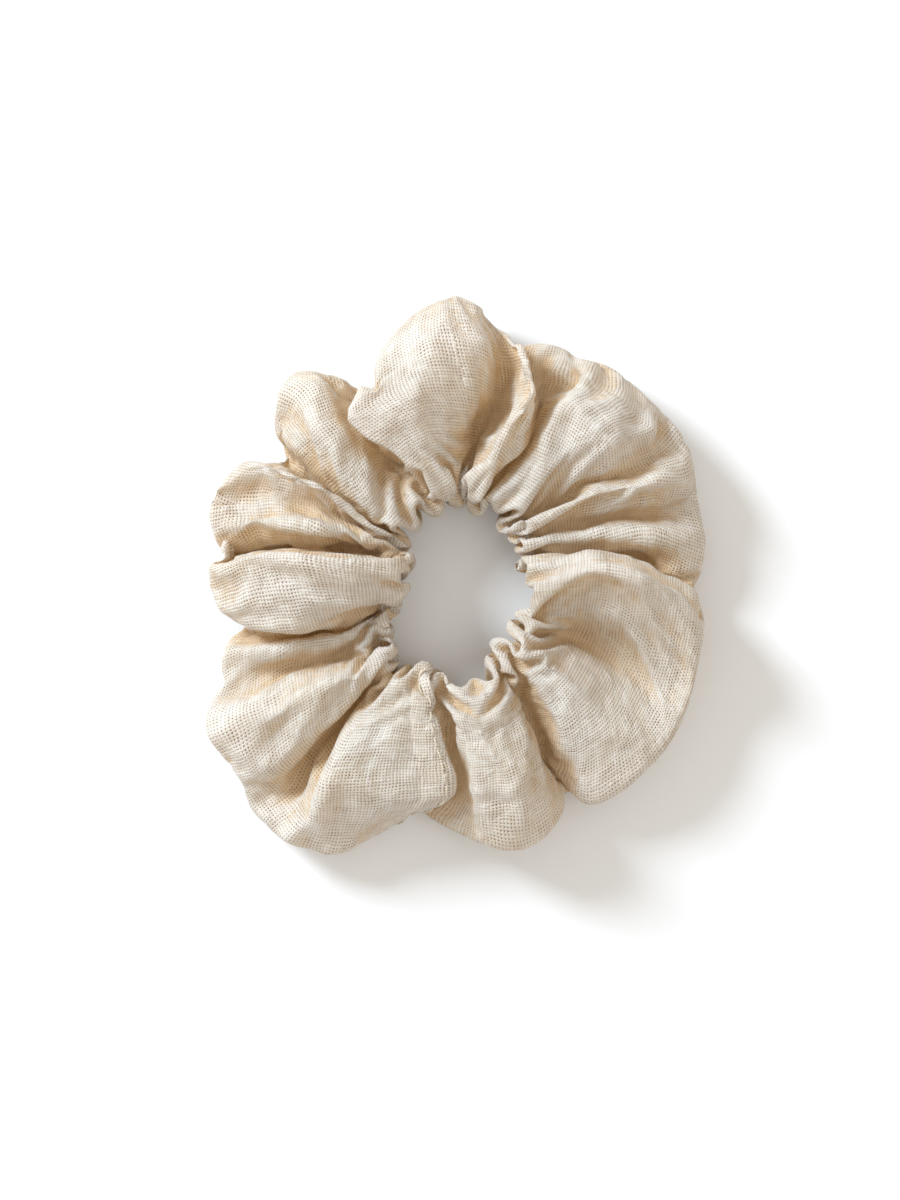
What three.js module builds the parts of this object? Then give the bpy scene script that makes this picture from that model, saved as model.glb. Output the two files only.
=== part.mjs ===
// A hair scrunchie: a tube of loosely woven cotton gathered over a loop of flat elastic.
// Millimetres, +Z up. It lies flat on z = 0, and the origin is under the middle of its box.
// The ring is in two halves, because its stretch is a slide that draws the right half along +X.
// The halves meet at the closing seam, where the tube's two ends are sewn together, and at a cut
// through the lobe opposite.
import * as THREE from "three";

// ---- driving dimensions ----
const RING_CENTRE = new THREE.Vector3(0.85, -3.87, 0); // the lobes differ in reach, so it is off centre
const CLOTH_WALL = 1.2; // the gathered cloth's thickness in its folds
const HALF_GAP = 0.3; // between pieces that meet face to face
const CUT_ANGLE = 90; // degrees anticlockwise from +X
const SEAM_ANGLE = 261;

const RING_X = 21; // the gathered cloth's half widths where it lies against the elastic
const RING_Y = 24;
const PLEAT_DEPTH = 5; // how far the pleats stand into the hole from there
const ELASTIC_LIFT = 0.4; // from the gathered cloth to the band
const ELASTIC_WIDTH = 6;
const ELASTIC_THICKNESS = 1.1;
const ELASTIC_BASE_Z = 6.5;
const LAP_LENGTH = 12; // how far the band's ends overlap where they are joined
const LAP_SETBACK = 4; // degrees from the lap to the closing seam

const THREAD_RADIUS = 0.3;
const THREAD_SIDES = 6;
const SIDE_SEAM_RADIUS = 30; // the tube's long seam runs round the inside of its underside
const SIDE_SEAM_SETBACK = 2; // degrees from its ends to the ends of each half
const TACK_STITCHES = 6;
const TACK_SETBACK = 8; // degrees from the tack's ends to the lap's
const TACK_LOW = 0.15; // the zigzag's two levels, as shares of the band's width
const TACK_HIGH = 0.85;

// Where bunched folds press the ring inwards: the angle, the share of its radius, and half the
// angle that it is pressed over.
const DENTS = [
  { at: 152, depth: 0.28, spread: 21 },
  { at: -40, depth: 0.27, spread: 24 },
  { at: -112, depth: 0.14, spread: 10 },
];

// Each lobe of the gathered tube, anticlockwise: the angle of its crest in degrees, how far it
// reaches from the ring's centre, its height, and the angle and reach of the valley between it and
// the next one.
const LOBES = [
  { at: 92, reach: 65.4, height: 28, valleyAt: 111, valleyReach: 48.6 },
  { at: 127, reach: 60.6, height: 25, valleyAt: 143, valleyReach: 49.4 },
  { at: 153, reach: 58.4, height: 24, valleyAt: 165, valleyReach: 55.5 },
  { at: 175, reach: 56.4, height: 28, valleyAt: 188, valleyReach: 48.2 },
  { at: 206, reach: 60.6, height: 24, valleyAt: 219, valleyReach: 59.4 },
  { at: 236, reach: 64.4, height: 26, valleyAt: 254, valleyReach: 48.0 },
  { at: 278, reach: 57.8, height: 25, valleyAt: 302, valleyReach: 44.0 },
  { at: 318, reach: 56.6, height: 24, valleyAt: 336, valleyReach: 54.0 },
  { at: 349, reach: 54.6, height: 26, valleyAt: 360, valleyReach: 53.4 },
  { at: 371, reach: 55.4, height: 22, valleyAt: 382, valleyReach: 55.6 },
  { at: 399, reach: 59.6, height: 24, valleyAt: 410, valleyReach: 59.0 },
  { at: 421, reach: 60.2, height: 23, valleyAt: 435, valleyReach: 56.2 },
];
const VALLEY_HEIGHT = 0.74; // of the height of the lobes beside it
const STEPS_PER_HALF = 46;
const BAND_STEP = 5; // degrees
const ARC_STEPS = 24;
const ARC_THREAD_STEPS = 36;
const SEAM_THREAD_STEPS = 52;

// The section of the tube, from its inmost point over the top, out, and back under. Each point is
// a share of the way from the inner to the outer reach, and a share of the height.
const SECTION = [
  [0.0, 0.42],
  [0.02, 0.62],
  [0.11, 0.85],
  [0.34, 0.98],
  [0.56, 1.0],
  [0.78, 0.86],
  [0.94, 0.6],
  [1.0, 0.36],
  [0.96, 0.14],
  [0.84, 0.0],
  [0.26, 0.0],
  [0.07, 0.05],
  [0.01, 0.2],
];

// ---- materials ----
const cotton = new THREE.MeshStandardMaterial({ color: 0xe6d8c2, roughness: 0.95, metalness: 0 });
const elasticBraid = new THREE.MeshStandardMaterial({ color: 0xf2eee6, roughness: 0.8, metalness: 0 });
const sewingThread = new THREE.MeshStandardMaterial({ color: 0xeee2cc, roughness: 0.7, metalness: 0 });

// ---- the ring and the tube's shape round it ----
const radians = THREE.MathUtils.degToRad;

// The gathered cloth's distance from the ring's centre where it lies against the elastic: an oval
// with dents.
function ringReach(degrees) {
  const a = radians(degrees);
  const oval = (RING_X * RING_Y) / Math.hypot(RING_Y * Math.cos(a), RING_X * Math.sin(a));
  let kept = 1;
  for (const dent of DENTS) {
    const off = THREE.MathUtils.euclideanModulo(degrees - dent.at + 180, 360) - 180;
    kept -= dent.depth * Math.exp(-((off / dent.spread) ** 2));
  }
  return oval * kept;
}

// The crests and valleys in order, and again before and after, so that every angle lies between two.
function stations() {
  const once = LOBES.flatMap((lobe, i) => {
    const next = LOBES[(i + 1) % LOBES.length];
    const valleyHeight = (VALLEY_HEIGHT * (lobe.height + next.height)) / 2;
    return [
      { at: lobe.at, reach: lobe.reach, height: lobe.height },
      { at: lobe.valleyAt, reach: lobe.valleyReach, height: valleyHeight },
    ];
  });
  const turned = (turn) => once.map((s) => ({ ...s, at: s.at + turn }));
  return [...turned(-360), ...once, ...turned(360)];
}
const STATIONS = stations();

// The inner reach, outer reach and height at an angle, the last two eased between a crest and a valley.
function shapeAt(degrees) {
  const after = STATIONS.findIndex((s) => s.at > degrees);
  const a = STATIONS[after - 1];
  const b = STATIONS[after];
  const share = THREE.MathUtils.smoothstep(degrees, a.at, b.at);
  const mix = (key) => THREE.MathUtils.lerp(a[key], b[key], share);
  return { inner: ringReach(degrees) - PLEAT_DEPTH, reach: mix("reach"), height: mix("height") };
}

// The section at an angle as [radius, z] points, inset from the outer surface by `inset`.
function sectionAt(degrees, inset) {
  const { inner, reach, height } = shapeAt(degrees);
  const outline = SECTION.map(([out, up]) => new THREE.Vector2(inner + out * (reach - inner), up * height));
  if (inset === 0) return outline;
  return outline.map((point, i) => {
    const before = outline[(i + outline.length - 1) % outline.length];
    const after = outline[(i + 1) % outline.length];
    const along = after.clone().sub(before).normalize();
    return point.clone().add(new THREE.Vector2(along.y, -along.x).multiplyScalar(inset));
  });
}

// A point of the section, turned to its place round the ring. `shift` moves it along the ring.
function placed(point, degrees, shift = 0) {
  const a = radians(degrees);
  return new THREE.Vector3(
    point.x * Math.cos(a) - shift * Math.sin(a),
    point.x * Math.sin(a) + shift * Math.cos(a),
    point.y,
  );
}

// ---- closed bodies ----
// A pipe through loops of points: outer loops, inner loops, and a flat rim at each end.
function pipe(outerLoops, innerLoops) {
  const count = outerLoops[0].length;
  const last = outerLoops.length - 1;
  const points = [...outerLoops.flat(), ...innerLoops.flat()];
  const outer = (loop, i) => loop * count + (i % count);
  const inner = (loop, i) => (outerLoops.length + loop) * count + (i % count);
  const faces = [];
  const quad = (a, b, c, d) => faces.push(a, b, c, a, c, d);
  for (let i = 0; i < count; i++) {
    for (let loop = 0; loop < last; loop++) {
      quad(outer(loop, i), outer(loop, i + 1), outer(loop + 1, i + 1), outer(loop + 1, i));
      quad(inner(loop, i), inner(loop + 1, i), inner(loop + 1, i + 1), inner(loop, i + 1));
    }
    quad(outer(0, i), inner(0, i), inner(0, i + 1), outer(0, i + 1));
    quad(outer(last, i), outer(last, i + 1), inner(last, i + 1), inner(last, i));
  }
  const geometry = new THREE.BufferGeometry().setFromPoints(points);
  geometry.setIndex(faces);
  geometry.computeVertexNormals();
  return geometry;
}

// The cloth from one angle to another, its two ends drawn back by a gap along the ring.
function coverGeometry(from, to, gapAtFrom, gapAtTo) {
  const outer = [];
  const inner = [];
  for (let step = 0; step <= STEPS_PER_HALF; step++) {
    const degrees = THREE.MathUtils.lerp(from, to, step / STEPS_PER_HALF);
    const shift = step === 0 ? gapAtFrom : step === STEPS_PER_HALF ? -gapAtTo : 0;
    outer.push(sectionAt(degrees, 0).map((p) => placed(p, degrees, shift)));
    inner.push(sectionAt(degrees, CLOTH_WALL).map((p) => placed(p, degrees, shift)));
  }
  return pipe(outer, inner);
}

// A flat band standing on edge round the ring, `lift` outside the gathered cloth: a stretch of
// wall, extruded upwards.
function bandGeometry(lift, from, to) {
  const steps = Math.ceil((to - from) / BAND_STEP);
  const side = (out) =>
    Array.from({ length: steps + 1 }, (_, i) => {
      const degrees = THREE.MathUtils.lerp(from, to, i / steps);
      const reach = ringReach(degrees) + out;
      return new THREE.Vector2(reach * Math.cos(radians(degrees)), reach * Math.sin(radians(degrees)));
    });
  const wall = new THREE.Shape([...side(lift + ELASTIC_THICKNESS), ...side(lift).reverse()]);
  return new THREE.ExtrudeGeometry(wall, { depth: ELASTIC_WIDTH, bevelEnabled: false });
}

// A thread along a curve, with closed ends.
function threadGeometry(curve, steps) {
  const section = new THREE.Shape();
  section.absarc(0, 0, THREAD_RADIUS, 0, 2 * Math.PI, false);
  return new THREE.ExtrudeGeometry(section, { steps, extrudePath: curve, curveSegments: THREAD_SIDES / 2 });
}

// A level arc of thread at a radius and height.
function threadArc(radius, z, from, to) {
  const points = [];
  for (let i = 0; i <= ARC_STEPS; i++) {
    points.push(placed(new THREE.Vector2(radius, z), THREE.MathUtils.lerp(from, to, i / ARC_STEPS)));
  }
  return new THREE.CatmullRomCurve3(points);
}

const scrunchie = new THREE.Group();
scrunchie.position.copy(RING_CENTRE);

function add(name, geometry, material) {
  const mesh = new THREE.Mesh(geometry, material);
  mesh.name = name;
  scrunchie.add(mesh);
  return mesh;
}

// ---- cover ----
// The closing seam's thread lies between the tube's two ends.
const SEAM_GAP = THREAD_RADIUS + HALF_GAP;
add("cover_left", coverGeometry(CUT_ANGLE, SEAM_ANGLE, HALF_GAP / 2, SEAM_GAP), cotton);
add("cover_right", coverGeometry(SEAM_ANGLE, CUT_ANGLE + 360, SEAM_GAP, HALF_GAP / 2), cotton);

// ---- elastic ----
function addBand(name, from, to, lift) {
  const band = add(name, bandGeometry(lift, from, to), elasticBraid);
  band.position.z = ELASTIC_BASE_Z;
}
const degreesOf = (length, radius) => THREE.MathUtils.radToDeg(length / radius);
const elasticGap = degreesOf(HALF_GAP / 2, RING_Y);
addBand("elastic_left", CUT_ANGLE + elasticGap, SEAM_ANGLE - elasticGap, ELASTIC_LIFT);
addBand("elastic_right", SEAM_ANGLE + elasticGap, CUT_ANGLE + 360 - elasticGap, ELASTIC_LIFT);

// The band's far end lies over the outside of its near end, and a zigzag of thread holds the two.
const lapLift = ELASTIC_LIFT + ELASTIC_THICKNESS + HALF_GAP;
const lapEnd = SEAM_ANGLE - LAP_SETBACK;
const lapStart = lapEnd - degreesOf(LAP_LENGTH, ringReach(lapEnd) + lapLift);
addBand("elastic_lap_end", lapStart, lapEnd, lapLift);

function tackCurve() {
  const lift = lapLift + ELASTIC_THICKNESS + HALF_GAP + THREAD_RADIUS;
  const points = [];
  for (let i = 0; i <= TACK_STITCHES; i++) {
    const degrees = THREE.MathUtils.lerp(lapStart + TACK_SETBACK, lapEnd - TACK_SETBACK, i / TACK_STITCHES);
    const up = i % 2 === 0 ? TACK_LOW : TACK_HIGH;
    const radius = ringReach(degrees) + lift;
    points.push(placed(new THREE.Vector2(radius, ELASTIC_BASE_Z + up * ELASTIC_WIDTH), degrees));
  }
  return new THREE.CatmullRomCurve3(points);
}
add("elastic_tack", threadGeometry(tackCurve(), ARC_THREAD_STEPS), sewingThread);

// ---- seams ----
// The long seam closes the strip into a tube. It runs inside, just over the underside.
const sideSeamZ = CLOTH_WALL + HALF_GAP + THREAD_RADIUS;
function addSideSeam(name, from, to) {
  const arc = threadArc(SIDE_SEAM_RADIUS, sideSeamZ, from + SIDE_SEAM_SETBACK, to - SIDE_SEAM_SETBACK);
  add(name, threadGeometry(arc, ARC_THREAD_STEPS), sewingThread);
}
addSideSeam("side_seam_left", CUT_ANGLE, SEAM_ANGLE);
addSideSeam("side_seam_right", SEAM_ANGLE, CUT_ANGLE + 360);

// The closing seam goes once round the tube's section, in the middle of the cloth's thickness, and
// its two ends stop short of each other at the inmost point.
const seamPoints = sectionAt(SEAM_ANGLE, CLOTH_WALL / 2).map((p) => placed(p, SEAM_ANGLE));
const seamCurve = new THREE.CatmullRomCurve3(seamPoints, false, "catmullrom", 0.2);
add("closing_seam", threadGeometry(seamCurve, SEAM_THREAD_STEPS), sewingThread);

export default scrunchie;
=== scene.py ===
"""A gathered cloth scrunchie, lying flat and seen from straight above.

The cover is a tube of loose plain-weave cloth. A small cloth solver written below gathers it onto
the elastic: the tube starts as a wide, smooth ring, its inside is drawn in by the elastic, and its
upper layer is led towards a set of fold lines. Threads, elastic and hem are built on the result.
"""
import math

import bpy
import numpy as np
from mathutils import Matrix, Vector


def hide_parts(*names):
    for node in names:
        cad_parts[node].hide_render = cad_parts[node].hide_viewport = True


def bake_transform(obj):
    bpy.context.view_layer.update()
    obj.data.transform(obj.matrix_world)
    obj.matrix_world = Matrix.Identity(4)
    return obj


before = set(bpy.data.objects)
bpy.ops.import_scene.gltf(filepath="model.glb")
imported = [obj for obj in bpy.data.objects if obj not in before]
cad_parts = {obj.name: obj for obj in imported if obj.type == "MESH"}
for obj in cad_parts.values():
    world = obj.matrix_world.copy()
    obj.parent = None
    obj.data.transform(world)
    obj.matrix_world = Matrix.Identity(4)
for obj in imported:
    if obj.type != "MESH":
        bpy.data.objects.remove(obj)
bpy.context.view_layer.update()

# ---- sizes, in millimetres until the meshes are made ----
MM = 0.001
RING_CENTRE = (0.85, -3.87)  # the hole's centre in the row frame
CLOTH_LENGTH = 496.0         # round the ring, before it is gathered
CLOTH_GIRTH = 106.0          # once round the tube
NU, NV = 392, 80             # points of the cloth along the length and the girth
DU, DV = CLOTH_LENGTH / NU, CLOTH_GIRTH / NV
HALF = CLOTH_GIRTH / 2
RING_X, RING_Y = 21.0, 24.0  # the gathered elastic's half widths
# Where bunched folds press the elastic inwards: degrees, how wide in degrees, share of the radius.
DENTS = [(152, 21, 0.28), (-40, 24, 0.27), (-112, 10, 0.14)]
CLOTH_GAP = 1.05             # how near two layers come
ELASTIC_WIDTH, ELASTIC_THICKNESS, ELASTIC_Z = 6.0, 1.1, 9.5
SECTORS = 10                 # the cover's mesh is split round the ring
REFINE = 2                   # the mesh's points for each point of the solver, each way
WAVE_SEED, CREASE_SEED = 3, 11

# ---- the folds ----
# The outline of the tube as it lies, anticlockwise from the tallest lobe: x, y, z from the
# hole's centre.
OUTLINE = [
    (-1.8, 66.2, 13), (-9, 62, 13), (-15.8, 55, 13), (-18, 47.5, 11), (-15, 43, 7), (-19, 44, 5),
    (-25, 49, 8), (-31, 50.6, 11), (-37, 48, 12), (-41, 41, 11), (-40.5, 34, 9), (-37, 30, 6.5),
    (-41, 28.5, 6), (-47, 29, 10), (-52, 25, 12), (-54.5, 18, 11), (-54, 11, 8), (-48, 7.5, 4),
    (-55.5, 6.5, 14), (-53.5, 1, 14), (-51, -4.5, 11), (-45, -7, 6), (-47.5, -8, 5), (-51.5, -10.5, 8),
    (-52.5, -15, 10), (-51, -19, 7), (-54, -24, 9), (-54.8, -30, 10), (-51, -36, 9), (-47, -41, 7),
    (-45, -47, 8), (-39, -53, 9), (-30, -57, 9), (-22.5, -55.5, 8), (-13, -49, 5), (-9, -46, 6),
    (-5, -49.5, 10), (2, -53, 12), (10, -55.5, 13), (17, -54.5, 13), (22, -50, 12), (23.5, -44, 9),
    (20.5, -37.5, 6.5), (23, -40.5, 5), (27, -45, 8), (32.5, -45.5, 12), (40, -39.5, 13), (46, -33, 13),
    (50, -25, 13), (52.8, -13, 13), (54, -1, 14), (51.5, 1.5, 7), (54, 6, 7), (54.4, 12, 9),
    (53.3, 18, 9), (52, 25, 10), (50.5, 32.5, 11), (46.5, 38.5, 12), (41, 44, 12), (34, 49.8, 12),
    (26, 53.3, 11), (17.5, 55.5, 8), (11, 54, 5), (11, 57.5, 8), (7, 61.5, 11),
]
# Fold lines over the top, from the hole to the outline. Each one has its place on the outline, and
# points as (share of the way in cloth, x, y, z).
FOLDS = [
    (0, [(0.12, -1.5, 22, 17), (0.35, -6, 32.5, 21), (0.6, -8, 44, 24), (0.8, -5, 55, 22)]),
    (2, [(0.15, -4, 23, 17), (0.4, -13, 30, 22), (0.65, -24.5, 38, 23), (0.82, -21.5, 46, 20)]),
    (4, [(0.15, -6, 22, 13), (0.4, -12, 28, 9), (0.65, -15.5, 34, 7), (0.85, -14, 40, 7)]),
    (6, [(0.15, -9.5, 19.5, 15), (0.4, -16.5, 29, 13), (0.65, -22, 38, 14), (0.85, -24.5, 45, 12)]),
    (7.6, [(0.1, -11.5, 14, 16), (0.3, -17.5, 18.5, 19), (0.52, -25.5, 28, 21),
        (0.74, -30.2, 38, 20), (0.92, -31.5, 47, 14)]),
    (9.5, [(0.3, -21, 17, 12), (0.55, -31, 26.5, 12), (0.8, -38, 34, 12)]),
    (11, [(0.2, -16.5, 13, 10), (0.5, -26, 20.5, 9), (0.8, -34, 27, 8.5)]),
    (13, [(0.08, -12.5, 10.8, 16), (0.27, -20.5, 16.5, 19), (0.52, -31, 24.5, 21), (0.8, -41.5, 28.5, 17)]),
    (14.5, [(0.5, -31, 20, 14), (0.8, -44, 22, 12)]),
    (16, [(0.2, -17, 11.5, 17), (0.5, -30, 14.5, 20), (0.8, -44.5, 16.5, 17)]),
    (17, [(0.2, -15, 9, 10), (0.5, -28, 11, 8), (0.8, -41, 10, 5)]),
    (18, [(0.17, -9.5, 6, 20), (0.33, -20, 7.5, 24), (0.55, -35, 8.5, 26), (0.8, -48, 8.5, 23)]),
    (20, [(0.15, -11, 1, 17), (0.4, -23, -3, 19), (0.65, -35, -7.5, 20), (0.88, -47, -6, 16)]),
    (21, [(0.2, -14, -2.5, 9), (0.5, -27, -7, 7), (0.8, -41, -8, 6)]),
    (23, [(0.2, -17, -5.5, 15), (0.5, -28, -9.5, 15), (0.8, -42, -11, 14)]),
    (25, [(0.2, -17, -10, 10), (0.5, -28, -14, 10), (0.8, -43, -17.5, 9)]),
    (26.7, [(0.2, -17, -14, 17), (0.5, -28, -20, 20), (0.8, -43, -26.5, 17)]),
    (28.5, [(0.2, -17, -16, 15), (0.45, -26, -24.5, 16), (0.7, -36, -33.5, 15), (0.9, -45, -39, 11)]),
    (29.6, [(0.2, -18, -18.5, 8), (0.5, -26, -29, 6), (0.8, -36, -41, 6)]),
    (31, [(0.12, -15, -17, 14), (0.4, -23, -29, 17), (0.65, -29, -41, 18), (0.87, -33, -49.7, 14)]),
    (32.6, [(0.15, -11.5, -17.5, 17), (0.42, -14, -29, 20), (0.76, -17.5, -45.5, 16)]),
    (34, [(0.15, -7, -18, 17), (0.42, -4.3, -30, 18.5), (0.76, -1.2, -43, 17)]),
    (35, [(0.2, -4.5, -19, 14), (0.5, -2, -30, 14.5), (0.8, 0, -42, 12)]),
    (37, [(0.2, -1.5, -21, 17), (0.45, 0.5, -30, 19), (0.7, 3, -41, 20), (0.9, 2, -49, 16)]),
    (39, [(0.15, 4, -20, 18), (0.35, 4.8, -27, 22), (0.62, 9.5, -37, 24), (0.87, 15.5, -47, 20)]),
    (41, [(0.15, 8.5, -17, 16), (0.45, 13, -27, 18), (0.75, 18, -38, 15)]),
    (42, [(0.15, 10, -14.5, 9), (0.5, 15, -25, 7.5), (0.85, 19, -34, 7)]),
    (44.5, [(0.15, 12, -11.5, 14), (0.4, 18, -20.5, 16), (0.65, 24, -31, 15), (0.88, 27.5, -40, 12)]),
    (46.9, [(0.15, 14, -10.5, 17), (0.45, 23.5, -18, 18), (0.75, 34, -30, 16)]),
    (48.2, [(0.15, 15, -7.5, 12), (0.4, 26, -8, 5.5), (0.6, 35, -14, 5.5), (0.82, 43.5, -21, 9)]),
    (49.7, [(0.12, 15, 1, 16), (0.4, 28, 5.5, 24), (0.65, 40, 5, 25), (0.88, 50, 0, 20)]),
    (50.5, [(0.12, 14, 6.5, 15), (0.4, 28.5, 9.5, 19), (0.62, 38.5, 8.5, 19), (0.85, 47, 3.5, 16)]),
    (51.5, [(0.12, 14.5, 8, 8), (0.4, 28, 8, 6), (0.65, 40, 6.5, 5), (0.88, 47, 4, 9)]),
    (53, [(0.1, 13.5, 11, 14), (0.35, 26, 13, 14), (0.65, 40, 13.5, 14), (0.88, 49, 12, 12)]),
    (54.5, [(0.1, 12.5, 13.5, 10), (0.4, 27, 16.5, 10), (0.75, 42, 18.5, 9)]),
    (56, [(0.1, 13, 14.2, 15), (0.4, 29, 21.5, 18), (0.7, 42, 24.4, 19), (0.9, 50, 27.3, 14)]),
    (57, [(0.1, 12, 15, 10), (0.45, 25.4, 22.8, 13), (0.8, 43, 30, 14)]),
    (58, [(0.1, 10.5, 17, 16), (0.35, 21, 27.3, 20), (0.6, 32.6, 33, 23), (0.85, 42, 36, 18)]),
    (60, [(0.08, 5, 18.5, 15), (0.35, 15.2, 29, 18), (0.6, 22.5, 40.4, 22), (0.76, 27.5, 45, 20)]),
    (61, [(0.1, 3.5, 19.5, 12), (0.4, 14, 33, 11), (0.65, 18, 43, 10), (0.88, 18, 51, 8)]),
    (61.7, [(0.08, 2, 20, 16), (0.25, 7.2, 25.5, 19), (0.55, 16, 37.5, 17), (0.8, 14.5, 47, 10)]),
    (63, [(0.08, 0, 21, 17), (0.25, 5.7, 28, 20), (0.5, 13, 38, 24),
        (0.68, 16.6, 45, 24), (0.88, 13.5, 54.5, 18)]),
    (64, [(0.12, 1, 23.5, 12), (0.4, 5, 35, 7), (0.6, 8, 42.5, 8), (0.8, 10.5, 50.5, 12)]),
    (64.5, [(0.12, -0.3, 22.8, 15), (0.4, 0, 34.5, 17), (0.6, 2.5, 44.5, 19), (0.8, 5, 54, 20)]),
]


# ---- curves ----
def ease(t):
    """0 to 1 with a slow start and end."""
    t = np.clip(t, 0, 1)
    return t * t * (3 - 2 * t)


def hermite(values, slopes, at, q):
    """The cubic through values at the places `at`, with those slopes, at the places q."""
    i = np.clip(np.searchsorted(at, q, side="right") - 1, 0, len(at) - 2)
    h = at[i + 1] - at[i]
    t = (q - at[i]) / h
    if values.ndim > 1:
        h, t = h[:, None], t[:, None]
    start = (2 * t**3 - 3 * t**2 + 1) * values[i] + (t**3 - 2 * t**2 + t) * h * slopes[i]
    end = (-2 * t**3 + 3 * t**2) * values[i + 1] + (t**3 - t**2) * h * slopes[i + 1]
    return start + end


def closed_spline(at, values, period, q):
    """A smooth closed curve through values, the same again after each period."""
    at = np.concatenate([at - period, at, at + period])
    values = np.concatenate([values, values, values])
    return hermite(values, np.gradient(values, at), at, q)


def outline_at(t):
    """The point of the outline at place t, and between two of its points where t isn't whole."""
    points = np.array(OUTLINE, float)
    n = len(points)
    t = np.asarray(t, float) % n
    i = np.floor(t).astype(int)
    f = (t - i)[..., None]
    a, b, c, d = points[(i - 1) % n], points[i], points[(i + 1) % n], points[(i + 2) % n]
    curve = 2 * b + (c - a) * f + (2 * a - 5 * b + 4 * c - d) * f**2 + (3 * b - a - 3 * c + d) * f**3
    return 0.5 * curve


def outline_reach():
    """How far the outline lies from the hole's centre, at each half degree."""
    points = outline_at(np.linspace(0, len(OUTLINE), 4000, endpoint=False))
    reach = np.zeros(720)
    slot = (np.degrees(np.arctan2(points[:, 1], points[:, 0])) % 360 * 2).astype(int) % 720
    np.maximum.at(reach, slot, np.hypot(points[:, 0], points[:, 1]))
    while (reach == 0).any():
        gaps = reach == 0
        reach[gaps] = np.maximum(np.roll(reach, 1), np.roll(reach, -1))[gaps]
    return np.append(reach, reach[0])


def ring_reach(angle):
    """The gathered elastic's distance from the hole's centre: an oval with dents."""
    share = 1
    for degrees, width, depth in DENTS:
        off = (angle - np.radians(degrees) + np.pi) % (2 * np.pi) - np.pi
        share = share - depth * np.exp(-(off / np.radians(width)) ** 2)
    oval = RING_X * RING_Y / np.sqrt((RING_Y * np.cos(angle)) ** 2 + (RING_X * np.sin(angle)) ** 2)
    return oval * share


# ---- the surface that the upper layer is led to ----
LAST_ROW = 20
ROWS = np.linspace(0, 1, LAST_ROW + 1)  # shares of the way from the hole to the outline
GATHERED_ROW, CREASED_ROW = 6, 14       # where the gathers end, and the middle of the creased part
HOLE_EDGE, HOLE_EDGE_Z = 17.5, 12.0
LEAST_APART = 3.0             # between two fold lines
EVEN_ROWS = 3.0               # rows that the cloth's share between two folds is evened over
FIRST_ANGLE = np.radians(92)  # at which the first fold line leaves the hole


def fold_line(place, points):
    """A fold line at each of the ROWS, half straight between its points and half rounded."""
    first = np.array(points[0][1:3]) / np.hypot(*points[0][1:3])
    at = np.array([0.0] + [p[0] for p in points] + [1.0])
    xyz = np.array([[*(first * HOLE_EDGE), HOLE_EDGE_Z]] + [p[1:] for p in points] + [outline_at(place)])
    rounded = hermite(xyz, np.gradient(xyz, at, axis=0), at, ROWS)
    straight = np.stack([np.interp(ROWS, at, xyz[:, c]) for c in range(3)], -1)
    return (rounded + straight) / 2


def fold_lines():
    """The fold lines' points, and how far along the cloth each one lies, row by row."""
    points = np.array([fold_line(place, line) for place, line in FOLDS])
    places = [place for place, _ in FOLDS] + [len(OUTLINE)]
    apart = np.maximum(np.linalg.norm(np.roll(points, -1, 0) - points, axis=-1), LEAST_APART)
    for k in range(len(FOLDS)):
        edge = outline_at(np.linspace(places[k], places[k + 1], 60))
        apart[k, LAST_ROW] = np.linalg.norm(np.diff(edge, axis=0), axis=1).sum()
    share = apart / apart.sum(0)
    share[:, :GATHERED_ROW] = share[:, GATHERED_ROW:GATHERED_ROW + 1]
    row = np.arange(LAST_ROW + 1)
    evening = np.exp(-0.5 * ((row[:, None] - row) / EVEN_ROWS) ** 2)
    share = share @ (evening / evening.sum(0))
    share /= share.sum(0)
    along = np.concatenate([np.zeros((1, LAST_ROW + 1)), np.cumsum(share, 0)[:-1]]) * CLOTH_LENGTH
    along -= (along - along[:, LAST_ROW:]).mean(0)
    return along, points


def led_surface(along, points, u):
    """The surface over the fold lines: flat panels with a firm crease at each line, eased a little."""
    out = np.empty((len(u), LAST_ROW + 1, 3))
    for row in range(LAST_ROW + 1):
        firm = 0.75 * (1 - ease((row / LAST_ROW - 0.75) / 0.25))
        base = along[0, row]
        at, q = along[:, row] - base, (u - base) % CLOTH_LENGTH
        for c in range(3):
            z = points[:, row, c]
            flat = np.interp(q, np.append(at, CLOTH_LENGTH), np.append(z, z[0]))
            out[:, row, c] = firm * flat + (1 - firm) * closed_spline(at, z, CLOTH_LENGTH, q)
    return out


# The cloth's own small creases: how long along the ring and across it in mm, turned by how many
# degrees, and how deep in mm.
CREASES = [(7, 26, 0, 0.55), (6, 20, 18, 0.40), (6, 20, -20, 0.40), (10, 12, 0, 0.40), (14, 6, 0, 0.25)]


def creases(rng):
    """The height of the cloth's own small creases, in mm, for every point of the cloth."""
    fu, fv = np.fft.fftfreq(NU, DU)[:, None], np.fft.fftfreq(NV, DV)[None]
    height = 0.0
    for length_u, length_v, turn, depth in CREASES:
        noise = rng.normal(size=(NU, NV))
        a = np.radians(turn)
        p, q = fu * np.cos(a) + fv * np.sin(a), -fu * np.sin(a) + fv * np.cos(a)
        keep = np.exp(-0.5 * ((p * length_u * 2.2) ** 2 + (q * length_v * 2.2) ** 2))
        noise = np.fft.ifft2(np.fft.fft2(noise) * keep).real
        height = height + depth * (0.8 - np.abs(noise / noise.std())) * 1.2
    return height - height.mean()


# ---- the cloth solver ----
# Steps along u and v between the points that each kind of bond joins, and how firm it is.
BONDS = [(1, 0, 1.0), (0, 1, 1.0), (1, 1, 0.25), (1, -1, 0.25),
         (2, 0, 0.28), (0, 2, 0.28), (4, 0, 0.07), (0, 4, 0.07)]


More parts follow.
